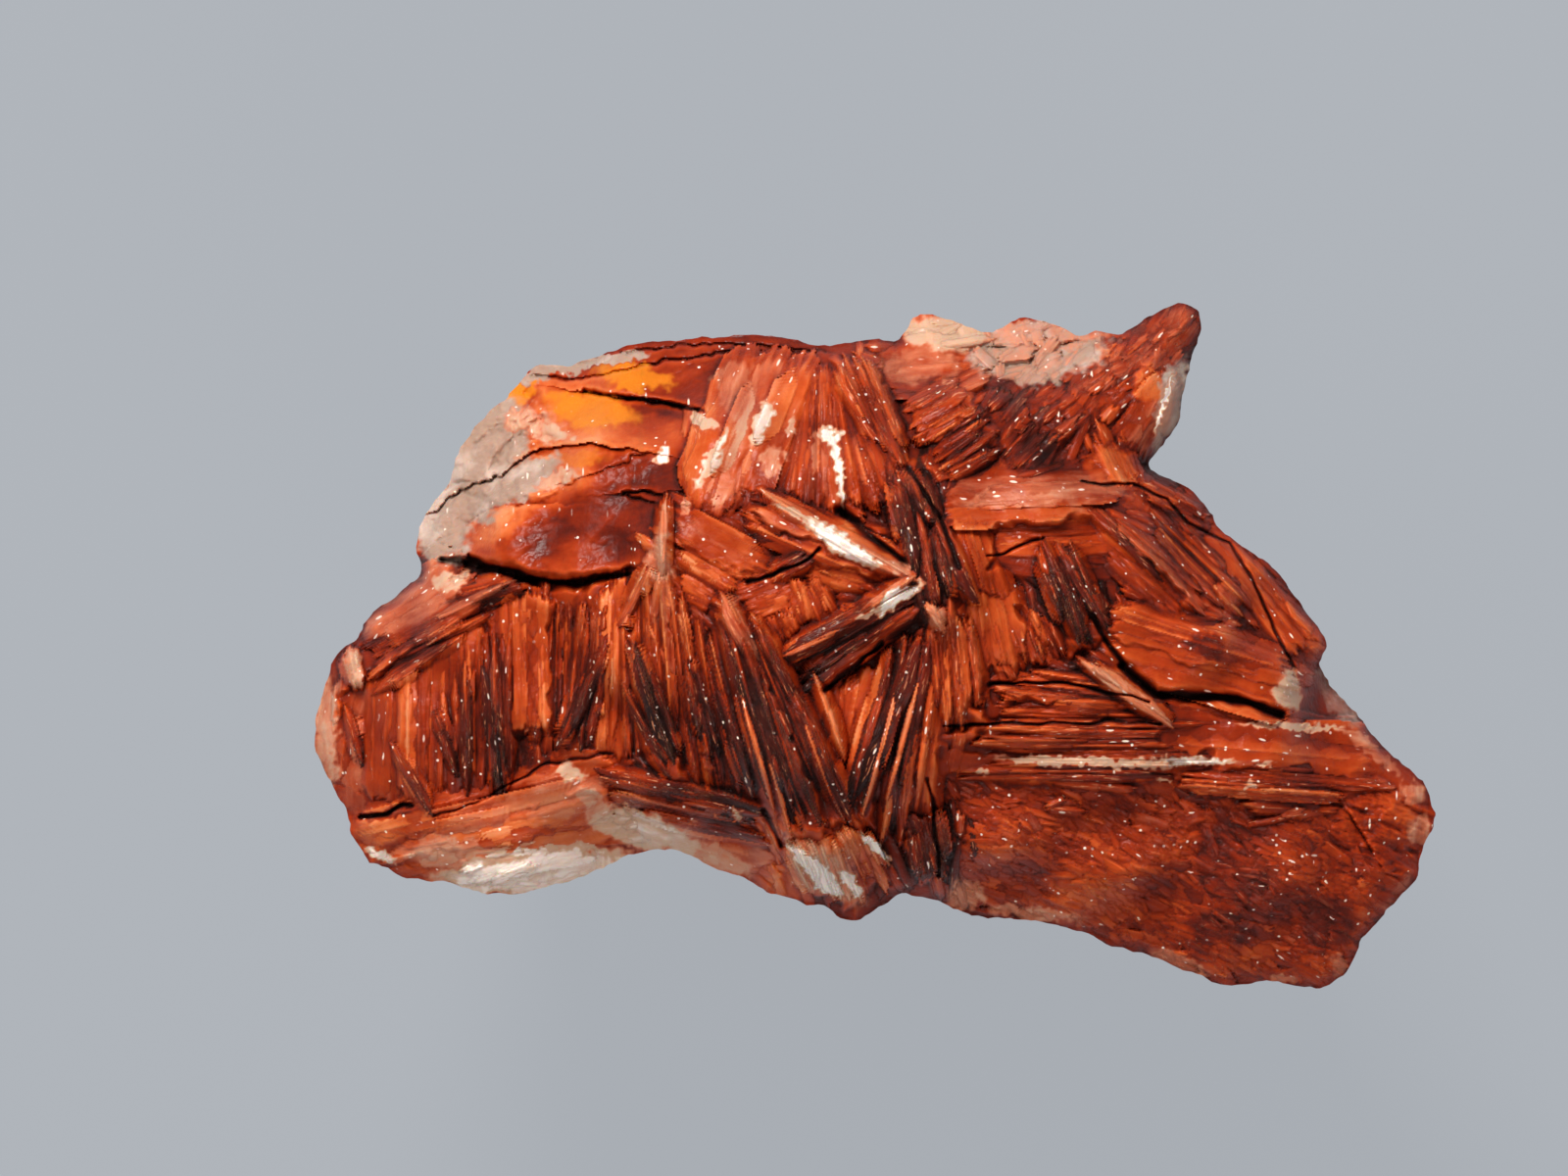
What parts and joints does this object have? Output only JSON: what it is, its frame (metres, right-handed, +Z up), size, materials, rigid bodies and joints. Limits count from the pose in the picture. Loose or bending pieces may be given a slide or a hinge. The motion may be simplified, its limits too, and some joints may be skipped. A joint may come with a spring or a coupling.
{
  "type": "bladed barite",
  "caption": "Natural specimen of bladed barite: fans and sheaves of flat red-orange blades on a massive ground, lying on a flat cut at its back.",
  "frame": {"origin": "middle of the flat cut that the specimen rests on, under the middle of its outline", "axes": "+X along the specimen's length, +Y along the height of its bladed face as the picture shows it, +Z up from the cut towards the bladed face"},
  "size_m": [0.0444, 0.0272, 0.0381],
  "materials": {
    "barite": "waxy, translucent, with small bright glints"
  },
  "bodies": {
    "root": {"bladed_barite": "barite"}
  },
  "joints": []
}
